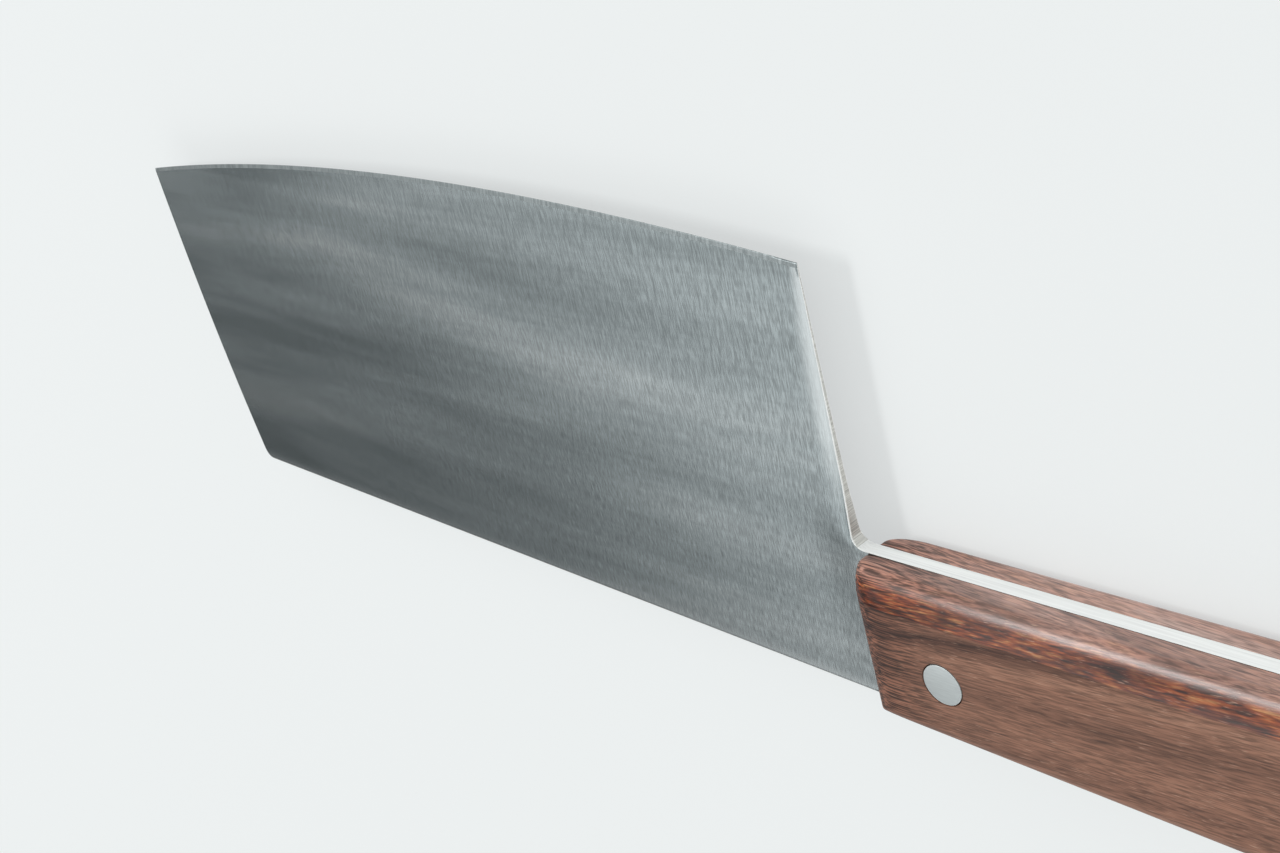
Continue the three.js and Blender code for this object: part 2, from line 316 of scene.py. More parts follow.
# Fine marks over the bands: lean in degrees, millimetres along the blade and from spine to edge, and how
# dark they go. The last are the hairlines that can be felt.
BELT_MARKS = ((1.0, 14.0, 1.1, "#F6F6F6"), (-4.0, 0.4, 6.0, "#F4F4F4"), (1.0, 0.15, 2.2, "#CECECE"))
MARKS_AT_TIP, MARKS_AT_HEEL = 0.4, 1.0         # how strongly they show
HAIRLINE_DEPTH = 0.012


def satin_ground_steel():
    """Stainless steel ground across the blade with a belt: short hairlines from edge to spine that smear
    reflections along the blade, over wide soft bands where the belt bit deeper, most of all near the tip.
    The bands' light and dark tones are partly a painted reflection.
    The hairlines are drawn 0.15 to 0.4 mm wide, coarser than a real grit's, so that they show, and they fade
    towards the tip. The heel's edge and a band along the spine are painted brighter: a painted highlight."""
    material = new_material("satin_ground_steel")
    tree = material.node_tree
    place = add(tree, "TexCoord").outputs["Object"]
    reach = add(tree, "SeparateXYZ", {0: place}).outputs["X"]
    from_tip = {"Value": reach, "From Min": blade_low.x, "From Max": KNIFE_ORIGIN.x}
    sway = sized_noise(tree, place, BAND_SWAY_SIZE, 1.0)["Color"]
    bend = (0.0, BAND_SWAY_WIDTH * MM, 0.0)
    swayed = add(tree, "VectorMath", {0: sway, 1: bend, 2: place}, operation="MULTIPLY_ADD").outputs[0]
    bites = sized_noise(tree, swayed, BAND_SIZE, 2.0, roughness=0.45)["Fac"]
    depth = add(tree, "MapRange", {**from_tip, "To Min": BANDS_AT_TIP, "To Max": BANDS_AT_HEEL}).outputs[0]
    bands = add(tree, "Mix", {MIX_FACTOR: depth, MIX_FLOAT_A: BAND_EVEN, MIX_FLOAT_B: bites}).outputs[0]
    colour = add(tree, "ValToRGB", {"Fac": bands}, PAINTED_REFLECTION_BAND_TONES).outputs["Color"]
    shown = add(tree, "MapRange", {**from_tip, "To Min": MARKS_AT_TIP, "To Max": MARKS_AT_HEEL}).outputs[0]
    for lean, along, across, darkest in BELT_MARKS:
        lines = sized_noise(tree, place, (along, across, across), 1.0, (0.0, 0.0, lean))["Fac"]
        marks = add(tree, "ValToRGB", {"Fac": lines}, {0.38: darkest, 0.62: "#FFFFFF"}).outputs["Color"]
        marked = add(tree, "Mix", {MIX_FACTOR: shown, MIX_A: colour, MIX_B: marks}, **MULTIPLIED)
        colour = marked.outputs[MIX_COLOR]
    # A painted highlight at the heel's edge and a painted sheen along the spine
    highlight_share = add(tree, "Attribute", attribute_name="highlight_share").outputs["Fac"]
    bright = add(tree, "Mix", {MIX_FACTOR: highlight_share, MIX_A: colour, MIX_B: srgb("#F0F4F5")}, **MIXED)
    rough = add(tree, "MapRange", {"Value": bands, **BAND_ROUGHNESS})
    waves = add(tree, "Bump", {"Height": bands, "Strength": 1.0, "Distance": BAND_DEPTH * MM})
    hair = add(tree, "Bump", {"Height": lines, "Strength": 0.35, "Distance": HAIRLINE_DEPTH * MM,
                              "Normal": waves.outputs[0]})
    tangent = add(tree, "Tangent", direction_type="UV_MAP", uv_map="along")
    return shade(material, {
        "Base Color": bright.outputs[MIX_COLOR],
        "Metallic": 1.0,
        "Roughness": rough.outputs[0],
        "Anisotropic": 0.35,
        "Tangent": tangent.outputs[0],
        "Normal": hair.outputs[0],
    })


def marked_metal(name, mark, detail, tones, roughness, relief=None):
    """A metal with even marks of these sizes in millimetres, drawn coarser than the real ones so that they
    show. Relief is their strength and depth, where they can be felt."""
    material = new_material(name)
    tree = material.node_tree
    place = add(tree, "TexCoord").outputs["Object"]
    marks = sized_noise(tree, place, mark, detail)["Fac"]
    colour = add(tree, "ValToRGB", {"Fac": marks}, tones).outputs["Color"]
    inputs = {"Base Color": colour, "Metallic": 1.0, "Roughness": roughness}
    if relief:
        strength, depth = relief
        bump = add(tree, "Bump", {"Height": marks, "Strength": strength, "Distance": depth * MM})
        inputs["Normal"] = bump.outputs[0]
    return shade(material, inputs)


def surface_ground_steel():
    """The same steel on its narrow faces, dressed on a wheel: straight marks across, a little warm."""
    tones = {0.34: "#BCBBB6", 0.66: "#E6E5E0"}
    return marked_metal("surface_ground_steel", (0.2, 0.2, 8), 1.0, tones, 0.42, relief=(0.5, 0.03))


def polished_steel_painted_white():
    """Steel flushed with the wood on a fine belt, with faint lines along the handle; its near-white colour
    is a painted highlight.
    """
    # Near white, whiter than steel: a painted highlight
    tones = {0.3: "#F4F4F3", 0.7: "#FEFEFD"}
    return marked_metal("polished_steel_painted_white", (25, 0.3, 0.3), 2.0, tones, 0.85)


def whetted_steel_painted_dark():
    """The sharpened bevel, drawn over a fine stone: a plainer grey, painted darker than the ground faces as
    a painted shade.
    """
    # Darker than the steel of the faces: painted shade
    tones = {0.35: "#767C7D", 0.65: "#949A9B"}
    return marked_metal("whetted_steel_painted_dark", (0.5, 4, 4), 2.0, tones, 0.4)


def satin_aluminium():
    """Aluminium rivet heads sanded flush with the wood: pale, soft, with faint scratches."""
    tones = {0.3: "#CCD0D0", 0.7: "#D5D9D9"}
    return marked_metal("satin_aluminium", (3, 0.3, 3), 2.0, tones, 0.6, relief=(0.3, 0.01))


# Patterns in the wood: millimetres along the grain and across it, and detail
GRAIN = {
    "tones": (90, 5.5, 3.0),
    "lines": (12, 0.28, 2.0),
    "dark_lines": (24, 0.4, 1.0),
    "pale_pores": (4.0, 0.2, 1.0),
    "figure": (4.4, 0.55, 2.0),
    "blotches": (18, 4.5, 1.5),
}
GRAIN_TURN = Euler([math.radians(t) for t in (0.0, 4.0, -5.0)])    # by which it runs out of the handle
GRAIN_SWAY_SIZE = (80, 14, 14)
GRAIN_SWAY_WIDTH = 2.4
GRAIN_BEND = (0.0, GRAIN_SWAY_WIDTH * MM, GRAIN_SWAY_WIDTH * MM)
GRAIN_DEPTH = 0.05
VEIN_NORMAL = Vector((-0.12, 0.72, 0.69))    # across the dark layer in the wood
VEIN_BELOW, VEIN_ABOVE = 2.5, 6.5            # how far it reaches to both sides

# Colours of the wood, by level of the pattern that each is laid on
SANDED_TONES = {0.28: "#7A5443", 0.42: "#8D6350", 0.58: "#9A6D58", 0.72: "#A67963"}
# The polished wood's paler tones are a painted sheen
PAINTED_SHEEN_TONES = {0.28: "#9C7062", 0.42: "#C29483", 0.58: "#D5AC9E", 0.72: "#E2BEB1"}
FLAME_TONES = {0.34: "#3C1308", 0.44: "#823312", 0.56: "#AC531D", 0.7: "#DB965C"}
BLOTCH_TONES = {0.34: "#946A5C", 0.45: "#FFFFFF"}
LINE_TONES = {0.36: "#AEAEAE", 0.62: "#FFFFFF"}
FRONT_DARK_TONES = {0.4: "#523C35", 0.6: "#FFEEE8"}
VEIN_TONES = {0.0: "#FFFFFF", 0.24: "#B4ACAC", 0.3: "#8A8284", 0.36: "#ECE8E8", 0.5: "#F0ECEC",
              0.63: "#A09A98", 0.85: "#FFFFFF"}
DARK_LINE_RANGE = {"From Min": 0.63, "From Max": 0.75, "To Max": 0.55}
PALE_PORE_RANGE = {"From Min": 0.65, "From Max": 0.78, "To Max": 0.55}

# The wood's two finishes: millimetres and strength of the darker front end, how much of the vein and of the
# grain's relief shows, and how it shines
WOOD_FINISHES = {
    "sanded": {"darker_front": 20.0, "front_darkness": 1.0, "vein": 1.0, "relief": 0.5, "roughness": 0.62, "specular": 0.5},
    "polished": {"darker_front": 34.0, "front_darkness": 0.75, "vein": 0.6, "relief": 0.2, "roughness": 0.45, "specular": 0.2},
}


def wood_grain(tree, place, shift):
    """The swaying place in a board that its grain is drawn on, and each pattern of that grain."""
    board = add(tree, "Mapping", {"Vector": place, "Location": shift, "Rotation": GRAIN_TURN}).outputs[0]
    sway = sized_noise(tree, board, GRAIN_SWAY_SIZE, 2.0)["Color"]
    swayed = add(tree, "VectorMath", {0: sway, 1: GRAIN_BEND, 2: board}, operation="MULTIPLY_ADD")
    grain = {}
    for pattern, (along, across, detail) in GRAIN.items():
        grain[pattern] = sized_noise(tree, swayed.outputs[0], (along, across, across), detail)["Fac"]
    return swayed.outputs[0], grain


def painted_sheen_and_figure(tree, colour, grain):
    """Wood paler by a painted sheen, with a mottled orange figure, as far as the piece's attributes say."""
    paler = add(tree, "ValToRGB", {"Fac": grain["tones"]}, PAINTED_SHEEN_TONES).outputs["Color"]
    flame = add(tree, "ValToRGB", {"Fac": grain["figure"]}, FLAME_TONES).outputs["Color"]
    burl = add(tree, "ValToRGB", {"Fac": grain["blotches"]}, BLOTCH_TONES).outputs["Color"]
    mottled = add(tree, "Mix", {MIX_FACTOR: 1.0, MIX_A: flame, MIX_B: burl}, **MULTIPLIED)
    for attribute, finish in (("sheen_and_figure_share", paler), ("figured", mottled.outputs[MIX_COLOR])):
        share = add(tree, "Attribute", attribute_name=attribute).outputs["Fac"]
        mixed = add(tree, "Mix", {MIX_FACTOR: share, MIX_A: colour, MIX_B: finish}, **MIXED)
        colour = mixed.outputs[MIX_COLOR]
    return colour


def vein_shadow(tree, swayed, shift, vein):
    """Tones of the one dark layer in a board, which runs through the given point of the knife."""
    turn = GRAIN_TURN.to_matrix()
    normal = turn @ VEIN_NORMAL.normalized()
    through = turn @ (KNIFE_ORIGIN + Vector(vein) * MM) + Vector(shift) + Vector(GRAIN_BEND) / 2
    middle = normal.dot(through)
    height = add(tree, "VectorMath", {0: swayed, 1: normal}, operation="DOT_PRODUCT").outputs["Value"]
    across = add(tree, "MapRange", {"Value": height, "From Min": middle - VEIN_BELOW * MM,
                                    "From Max": middle + VEIN_ABOVE * MM})
    return add(tree, "ValToRGB", {"Fac": across.outputs[0]}, VEIN_TONES).outputs["Color"]


def rosewood(scale, finish, shift, vein):
    """Rosewood, cut a little across the grain: soft tones, fine lines, short open pores and one dark vein,
    and darker towards the front end. Sanded, it is matt. Polished, it has the gloss of handling, which
    fades towards the darker front end, and paler wood, a painted sheen, with a mottled figure. Lines and
    pores are drawn 0.2 to 0.4 mm wide, a little coarser than the real ones, so that they show."""
    look = WOOD_FINISHES[finish]
    polished = finish == "polished"
    material = new_material(f"{scale}_{finish}_rosewood")
    tree = material.node_tree
    place = add(tree, "TexCoord").outputs["Object"]
    swayed, grain = wood_grain(tree, place, shift)
    colour = add(tree, "ValToRGB", {"Fac": grain["tones"]}, SANDED_TONES).outputs["Color"]
    if polished:
        colour = painted_sheen_and_figure(tree, colour, grain)
    fine = add(tree, "ValToRGB", {"Fac": grain["lines"]}, LINE_TONES).outputs["Color"]
    lined = add(tree, "Mix", {MIX_FACTOR: 0.9, MIX_A: colour, MIX_B: fine}, **MULTIPLIED).outputs[MIX_COLOR]
    dark = add(tree, "MapRange", {"Value": grain["dark_lines"], **DARK_LINE_RANGE}).outputs[0]
    marked = add(tree, "Mix", {MIX_FACTOR: dark, MIX_A: lined, MIX_B: srgb("#34221D")}, **MIXED)
    shadow = vein_shadow(tree, swayed, shift, vein)
    veined = add(tree, "Mix", {MIX_FACTOR: look["vein"], MIX_A: marked.outputs[MIX_COLOR], MIX_B: shadow},
                 **MULTIPLIED).outputs[MIX_COLOR]
    pale = add(tree, "MapRange", {"Value": grain["pale_pores"], **PALE_PORE_RANGE}).outputs[0]
    pored = add(tree, "Mix", {MIX_FACTOR: pale, MIX_A: veined, MIX_B: srgb("#C99F88")},
                **MIXED).outputs[MIX_COLOR]
    # Darker towards the scale's front end, where the coat's gloss also fades
    front = KNIFE_ORIGIN.x + SCALE_FRONT * MM
    behind = add(tree, "SeparateXYZ", {0: place}).outputs["X"]
    front_darkness = add(tree, "MapRange", {"Value": behind, "From Min": front, "From Max": front + look["darker_front"] * MM,
                                 "To Min": look["front_darkness"], "To Max": 0.0},
              interpolation_type="SMOOTHSTEP").outputs[0]
    front_dark_lines = add(tree, "ValToRGB", {"Fac": grain["lines"]}, FRONT_DARK_TONES).outputs["Color"]
    darker_front = add(tree, "Mix", {MIX_FACTOR: front_darkness, MIX_A: pored, MIX_B: front_dark_lines}, **MULTIPLIED)
    gloss = add(tree, "Math", {0: 1.0, 1: front_darkness}, operation="SUBTRACT").outputs[0] if polished else 0.0
    relief = add(tree, "Math", {0: grain["lines"], 1: dark}, operation="SUBTRACT").outputs[0]
    bump = add(tree, "Bump", {"Height": relief, "Strength": look["relief"], "Distance": GRAIN_DEPTH * MM})
    return shade(material, {
        "Base Color": darker_front.outputs[MIX_COLOR],
        "Roughness": look["roughness"],
        "Specular IOR Level": look["specular"],
        "Coat Weight": gloss,
        "Coat Roughness": 0.28,
        "Coat IOR": 1.5,
        "Normal": bump.outputs[0],
        "Coat Normal": bump.outputs[0],
    })


# Making and seating pieces
def make_piece(bm, name, materials):
    """Turns a shape in knife millimetres into an object in the frame, with its faces pointing out."""
    bmesh.ops.scale(bm, vec=(MM, MM, MM), verts=bm.verts)
    bmesh.ops.translate(bm, vec=KNIFE_ORIGIN, verts=bm.verts)
    bmesh.ops.recalc_face_normals(bm, faces=bm.faces)
    for face in bm.faces:
        face.smooth = True
    mesh = bpy.data.meshes.new(name)
    bm.to_mesh(mesh)
    bm.free()
    for material in materials:
        mesh.materials.append(material)
    piece = bpy.data.objects.new(name, mesh)
    bpy.context.scene.collection.objects.link(piece)
    return piece


def labelled_grid(columns, rows):
    """A grid whose vertices know their column and row."""
    bm = bmesh.new()
    bmesh.ops.create_grid(bm, x_segments=columns, y_segments=rows, size=1)
    column = bm.verts.layers.int.new("column")
    row = bm.verts.layers.int.new("row")
    for v in bm.verts:
        v[column] = round((v.co.x + 1) / 2 * columns)
        v[row] = round((v.co.y + 1) / 2 * rows)
    return bm, column, row


def cut_away(piece, cutter):
    """Cuts one piece out of another and removes it."""
    cut = piece.modifiers.new("cut", "BOOLEAN")
    cut.object = cutter
    cut.solver = "EXACT"
    shape = piece.evaluated_get(bpy.context.evaluated_depsgraph_get())
    mesh = bpy.data.meshes.new_from_object(shape)
    piece.modifiers.remove(cut)
    piece.data = mesh
    bpy.data.objects.remove(cutter)


def dress(piece, node):
    """Seats a piece in the frame in place of its CAD node, with even shading beside its roundings."""
    even = piece.modifiers.new("even_shading", "WEIGHTED_NORMAL")
    even.keep_sharp = True
    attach(piece, "root")
    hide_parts(node)


class Fillet:
    """An arc between two straight arms that leave a corner."""

    def __init__(self, corner, first, second, radius):
        first = (Vector(first) - Vector(corner)).normalized()
        second = (Vector(second) - Vector(corner)).normalized()
        half = first.angle(second) / 2
        self.reach = radius / math.tan(half)
        self.centre = Vector(corner) + (first + second).normalized() * radius / math.sin(half)
        self.start = Vector(corner) + first * self.reach - self.centre
        end = Vector(corner) + second * self.reach - self.centre
        self.turn = math.atan2(self.start.x * end.y - self.start.y * end.x, self.start.dot(end))

    def point(self, along):
        """The arc's point for a place on the arms, from -reach on the first to +reach on the second."""
        turned = Matrix.Rotation(self.turn * (along + self.reach) / (2 * self.reach), 2) @ self.start
        return self.centre + turned


# The net over the steel's face: runs along it and rises across it, closest together at its edges
BLADE_RUNS = graded_both(EDGE_LENGTH, first=0.8, last=0.6, largest=3.0)
TANG_RUNS = graded_both(BARE_TANG + HANDLE_LENGTH, first=0.6, last=0.12, largest=4.0)
TANG_RISES = graded_both(HANDLE_HEIGHT, first=0.6, last=0.6, largest=2.5)
UPPER_RISES = graded_both(SHOULDER_HEIGHT - HANDLE_HEIGHT, first=0.6, last=0.8, largest=2.5)
RISES = TANG_RISES + [HANDLE_HEIGHT + r for r in UPPER_RISES[1:]]
HEEL_COLUMN = len(BLADE_RUNS) - 1
LAST_COLUMN = HEEL_COLUMN + len(TANG_RUNS) - 1
BELLY_ROW = len(TANG_RISES) - 1
LAST_ROW = len(RISES) - 1
SETTLING_ROUNDS = 3
TIP_SMOOTHING_REACH = 4 * TIP_CORNER_RADIUS
TIP_SMOOTHING_ROUNDS = 12


def blade_point(run, rise):
    """A point of the blade's face, settled in rounds because its x and y depend on each other."""
    y = rise
    for _ in range(SETTLING_ROUNDS):
        x = lerp(tip_x(y), heel_x(y), run / EDGE_LENGTH)
        y = rise / SHOULDER_HEIGHT * (edge_y(x) - BEVEL_WIDTH)
    return Vector((x, y))


def tang_point(run, rise):
    s = run - BARE_TANG
    y = lerp(back_line(s), belly_line(s), rise / HANDLE_HEIGHT)
    return Vector((handle_x(s, y), y))


HEEL_FOOT = blade_point(EDGE_LENGTH, HANDLE_HEIGHT)
HEEL_FILLET = Fillet(HEEL_FOOT, (heel_x(HEEL_HEIGHT), HEEL_HEIGHT),
                     tang_point(HANDLE_LENGTH / 2, HANDLE_HEIGHT), HEEL_FILLET_RADIUS)
TIP_CORNER = blade_point(0, 0)
TIP_FILLET = Fillet(TIP_CORNER, blade_point(0, TIP_CORNER_RADIUS), (0, 0), TIP_CORNER_RADIUS)


def net_point(i, j):
    """Where the net's column i and row j cross, with the heel's foot and the tip's corner rounded."""
    if i <= HEEL_COLUMN:
        point = blade_point(BLADE_RUNS[i], RISES[j])
    else:
        point = tang_point(TANG_RUNS[i - HEEL_COLUMN], RISES[j])
    from_foot = point - HEEL_FOOT
    from_tip = point - TIP_CORNER
    if i == HEEL_COLUMN and j >= BELLY_ROW and from_foot.y < HEEL_FILLET.reach:
        return HEEL_FILLET.point(-from_foot.y)
    if j == BELLY_ROW and i >= HEEL_COLUMN and from_foot.x < HEEL_FILLET.reach:
        return HEEL_FILLET.point(from_foot.x)
    if i == 0 and from_tip.length < TIP_FILLET.reach:
        return TIP_FILLET.point(-from_tip.length)
    if j == 0 and i <= HEEL_COLUMN and from_tip.x < TIP_FILLET.reach:
        return TIP_FILLET.point(from_tip.x)
    return point


def outward(v):
    """The direction out of a flat net at a vertex of its border."""
    before, after = [e.other_vert(v).co for e in v.link_edges if e.is_boundary]
    run = after - before
    out = Vector((run.y, -run.x)).normalized()
    inside = sum((f.calc_center_median() for f in v.link_faces), Vector()) / len(v.link_faces)
    return -out if out.dot((v.co - inside).xy) < 0 else out


def rim_point(border, i, j, turn):
    """A vertex of the rim, turned from the face (0) to the steel's narrow face or cutting edge (1)."""
    place, out = border[i, j]
    half = half_steel(place.x, place.y)
    if j == LAST_ROW:
        x = lerp(tip_x(place.y), heel_x(place.y), BLADE_RUNS[i] / EDGE_LENGTH)
        flat = place.lerp(Vector((x, edge_y(x))), turn)
        return Vector((*flat, lerp(half, EDGE_LAND / 2, turn)))
    ease = lerp(STEEL_EASE, TANG_EASE, smooth((place.x - HEEL_LEAN) / BARE_TANG))
    ease = min(ease, EASE_SHARE * half)
    angle = turn * math.pi / 2
    flat = place - out * ease * (1 - math.sin(angle))
    return Vector((*flat, half - ease * (1 - math.cos(angle))))


# Places of the steel's finishes in its list of materials, where the ground faces' is 0
BLADE_RIM, BLADE_STRIP, BLADE_BEVEL = 1, 2, 3
STRIP_START = 0.9          # share of the fillet's arm at which the tang's polished strip begins
STRIP_COLUMN = max(i for i in range(HEEL_COLUMN, LAST_COLUMN)
                   if net_point(i, BELLY_ROW).x - HEEL_FOOT.x < STRIP_START * HEEL_FILLET.reach)


def rim_material(crossings, rounding):
    """The finish of a face of the rim between these crossings of the net."""
    if all(j == LAST_ROW for i, j in crossings):
        return BLADE_BEVEL
    on_belly = all(j == BELLY_ROW and i >= STRIP_COLUMN for i, j in crossings)
    on_tang = all(i > HEEL_COLUMN for i, j in crossings)
    on_heel = all(i == HEEL_COLUMN and j >= BELLY_ROW for i, j in crossings)
    return BLADE_STRIP if on_belly or on_tang or on_heel and rounding else BLADE_RIM


def make_blade(materials):
    """The steel: a face from spine to bevel with the tang, its rim rounded to the middle, and mirrored."""
    bm, column, row = labelled_grid(LAST_COLUMN, LAST_ROW)
    spare = [v for v in bm.verts if v[column] > HEEL_COLUMN and v[row] > BELLY_ROW]
    bmesh.ops.delete(bm, geom=spare, context="VERTS")
    for v in bm.verts:
        v.co.xy = net_point(v[column], v[row])
    # The net inside the tip's rounded corner is evened out
    corner = Vector((*TIP_CORNER, 0.0))
    near = [v for v in bm.verts if not v.is_boundary and (v.co - corner).length < TIP_SMOOTHING_REACH]
    for _ in range(TIP_SMOOTHING_ROUNDS):
        bmesh.ops.smooth_vert(bm, verts=near, factor=0.5, use_axis_x=True, use_axis_y=True)

    border = {(v[column], v[row]): (v.co.xy.copy(), outward(v)) for v in bm.verts if v.is_boundary}
    for v in bm.verts:
        if v.is_boundary:
            v.co = rim_point(border, v[column], v[row], 0)
        else:
            v.co.z = half_steel(v.co.x, v.co.y)
    # The rim grows by its rounding, and by one last step to the middle of the steel
    for step in range(1, ROUND_STEPS + 2):
        rounding = step <= ROUND_STEPS
        rim = [e for e in bm.edges if e.is_boundary]
        grown = bmesh.ops.extrude_edge_only(bm, edges=rim)["geom"]
        for v in (g for g in grown if isinstance(g, bmesh.types.BMVert)):
            v.co = rim_point(border, v[column], v[row], min(step, ROUND_STEPS) / ROUND_STEPS)
            if not rounding:
                v.co.z = 0.0
        for face in (g for g in grown if isinstance(g, bmesh.types.BMFace)):
            face.material_index = rim_material([(v[column], v[row]) for v in face.verts], rounding)

    # The other half, and what the materials read
    everything = bm.verts[:] + bm.edges[:] + bm.faces[:]
    bmesh.ops.mirror(bm, geom=everything, matrix=Matrix.Identity(4), merge_dist=WELD, axis="Z")
    for e in bm.edges:
        if len({f.material_index == BLADE_BEVEL for f in e.link_faces}) == 2:
            e.smooth = False
    # How strongly the painted highlight and sheen show at each vertex
    highlight_share = bm.verts.layers.float.new("highlight_share")
    for v in bm.verts:
        v[highlight_share] = painted_highlight(v.co.x, v.co.y)
    along = bm.loops.layers.uv.new("along")
    for face in bm.faces:
        for loop in face.loops:
            loop[along].uv = loop.vert.co.xy * MM
    return make_piece(bm, "ground_blade", materials)


WOOD_SANDED, WOOD_POLISHED = range(2)
ARRIS_POINTS = 2                                     # of the chamfer at each end of a scale's section
LAST_FLAT_ROW = ARRIS_POINTS + ARC_STEPS + FLAT_STEPS
BUTT_FADE = 16.0                                     # length over which the painted sheen and the figure end before the butt
FIGURE_STRONG, FIGURE_FAINT = 0.9, 0.2               # share of the figure beside the flats and on the belly
FIGURE_FADE_START, FIGURE_FADE_LENGTH = 0.4, 0.25    # where it fades, in shares of the belly's rounding


def scale_section(s):
    """Points of one scale's section from its inner back corner round to its inner belly corner."""
    lip = END_LIP * max(quarter_round(s / END_LIP), quarter_round((HANDLE_LENGTH - s) / END_LIP))
    front = quarter_round(s / FRONT_EASE_LENGTH)
    butt = quarter_round((HANDLE_LENGTH - s) / BUTT_EASE_LENGTH)

    def eased(full, at_front, at_butt):
        return full + (at_front - full) * front + (at_butt - full) * butt

    half = eased(HANDLE_THICKNESS, FRONT_THICKNESS, BUTT_THICKNESS) / 2 - lip
    rounding = eased(BACK_ROUND, FRONT_BACK_ROUND, BUTT_BACK_ROUND)
    down = eased(BELLY_ROUND_DOWN, BELLY_ROUND_DOWN, BUTT_BELLY_ROUND)
    belly = belly_line(s) - FRONT_EASE_BELLY * front - lip
    back = back_line(s) + FRONT_EASE_BACK * front + lip
    low, high = back + rounding, belly - down
    turns = [math.pi / 2 * i / ARC_STEPS for i in range(ARC_STEPS + 1)]
    points = [(back + WOOD_ARRIS, HALF_STEEL), (back, HALF_STEEL + WOOD_ARRIS)]
    points += [(back + rounding * (1 - math.cos(t)), half - rounding * (1 - math.sin(t))) for t in turns]
    points += [(lerp(low, high, i / FLAT_STEPS), half) for i in range(1, FLAT_STEPS)]
    points += [(belly - down * (1 - math.sin(t)), half - BELLY_ROUND_ACROSS * (1 - math.cos(t)))
               for t in turns]
    points += [(belly, HALF_STEEL + WOOD_ARRIS), (belly - WOOD_ARRIS, HALF_STEEL)]
    return points


def make_scale(name, side, materials):
    """A wooden scale: a skin round its section along the handle, closed along the tang and at both ends.
    The belly and its rounding are polished, and the rest is sanded."""
    stations = graded_both(HANDLE_LENGTH, first=0.06, last=0.06, largest=3.0)
    sections = [scale_section(s) for s in stations]
    last_row = len(sections[0]) - 1
    bm, column, row = labelled_grid(len(stations) - 1, last_row)
    figured = bm.verts.layers.float.new("figured")
    sheen_and_figure_share = bm.verts.layers.float.new("sheen_and_figure_share")
    for v in bm.verts:
        s = stations[v[column]]
        y, z = sections[v[column]][v[row]]
        v.co = (handle_x(s, y), y, z)
        turned = (v[row] - LAST_FLAT_ROW) / ARC_STEPS
        faded = smooth((turned - FIGURE_FADE_START) / FIGURE_FADE_LENGTH)
        # The painted sheen's share, which also carries the figure, ends before the butt
        v[sheen_and_figure_share] = smooth((HANDLE_LENGTH - s) / BUTT_FADE)
        v[figured] = v[sheen_and_figure_share] * lerp(FIGURE_STRONG, FIGURE_FAINT, faded)
    for face in bm.faces:
        flat = max(v[row] for v in face.verts) <= LAST_FLAT_ROW
        face.material_index = WOOD_SANDED if flat else WOOD_POLISHED
    seams = [e for e in bm.edges if {v[row] for v in e.verts} in ({0}, {last_row})]
    inner = bmesh.ops.bridge_loops(bm, edges=seams)["faces"]
    ends = bmesh.ops.holes_fill(bm, edges=[e for e in bm.edges if e.is_boundary], sides=0)["faces"]
    for face in inner + ends:
        face.material_index = WOOD_SANDED
    if side < 0:
        bmesh.ops.scale(bm, vec=(1, 1, -1), verts=bm.verts)
    return make_piece(bm, name, materials)


def spun(profile, name, centre, materials):
    """A round piece turned about z from a profile of radii and heights."""
    bm = bmesh.new()
    verts = [bm.verts.new((radius, 0, height)) for radius, height in profile]
    edges = [bm.edges.new(pair) for pair in zip(verts, verts[1:])]
    bmesh.ops.spin(bm, geom=verts + edges, cent=(0, 0, 0), axis=(0, 0, 1), angle=math.tau,
                   steps=SPIN_STEPS, use_merge=True)
    bmesh.ops.remove_doubles(bm, verts=bm.verts, dist=WELD)
    bmesh.ops.translate(bm, vec=(*centre, 0), verts=bm.verts)
    return make_piece(bm, name, materials)


def rounded_head():
    """Profile of a rivet head from its flush face to its seat, with an eased rim."""
    rim = HEAD_DIAMETER / 2
    turns = [math.pi / 2 * i / ROUND_STEPS for i in range(ROUND_STEPS + 1)]
    eased = [(rim - HEAD_EASE * (1 - math.sin(t)), HALF_HANDLE - HEAD_EASE * (1 - math.cos(t)))
             for t in turns]
    return [(0.0, HALF_HANDLE), *eased, (rim, SEAT)]


def turned_over(profile):
    return [(radius, -height) for radius, height in profile]


def make_rivet(place, centre, metal):
    """A rivet: a headed sleeve from above and a headed pin from below that goes into its bore."""
    pin = PIN_DIAMETER / 2
    tube = SLEEVE_DIAMETER / 2
    bore = pin + RIVET_CLEARANCE
    pin_end = SEAT - pin
    bore_end = pin_end + RIVET_END_GAP
    tube_end = -SEAT + RIVET_END_GAP
    head = rounded_head()
    tube_profile = [(tube, SEAT), (tube, tube_end), (bore, tube_end), (bore, bore_end), (0.0, bore_end)]
    pin_profile = [(pin, -SEAT), (pin, pin_end), (0.0, pin_end)]
    rivet_head = spun(head + tube_profile, f"{place}_rivet_head", centre, [metal])
    rivet_foot = spun(turned_over(head) + pin_profile, f"{place}_rivet_foot", centre, [metal])
    dress(rivet_head, f"{place}_rivet_sleeve")
    dress(rivet_foot, f"{place}_rivet_pin")


def rivet_hole(centre, side):
    """The stepped hole for a rivet on one side, with a chamfer where it opens."""
    head = HEAD_DIAMETER / 2 + RIVET_CLEARANCE
    flare = head + HOLE_FLARE
    past = HALF_HANDLE + HEAD_HEIGHT
    profile = [(0.0, past), (flare, past), (flare, HALF_HANDLE), (head, HALF_HANDLE - HOLE_FLARE),
               (head, SEAT), (SLEEVE_HOLE_RADIUS, SEAT), (SLEEVE_HOLE_RADIUS, 0.0), (0.0, 0.0)]
    return spun(profile if side > 0 else turned_over(profile), "rivet_hole", centre, [])


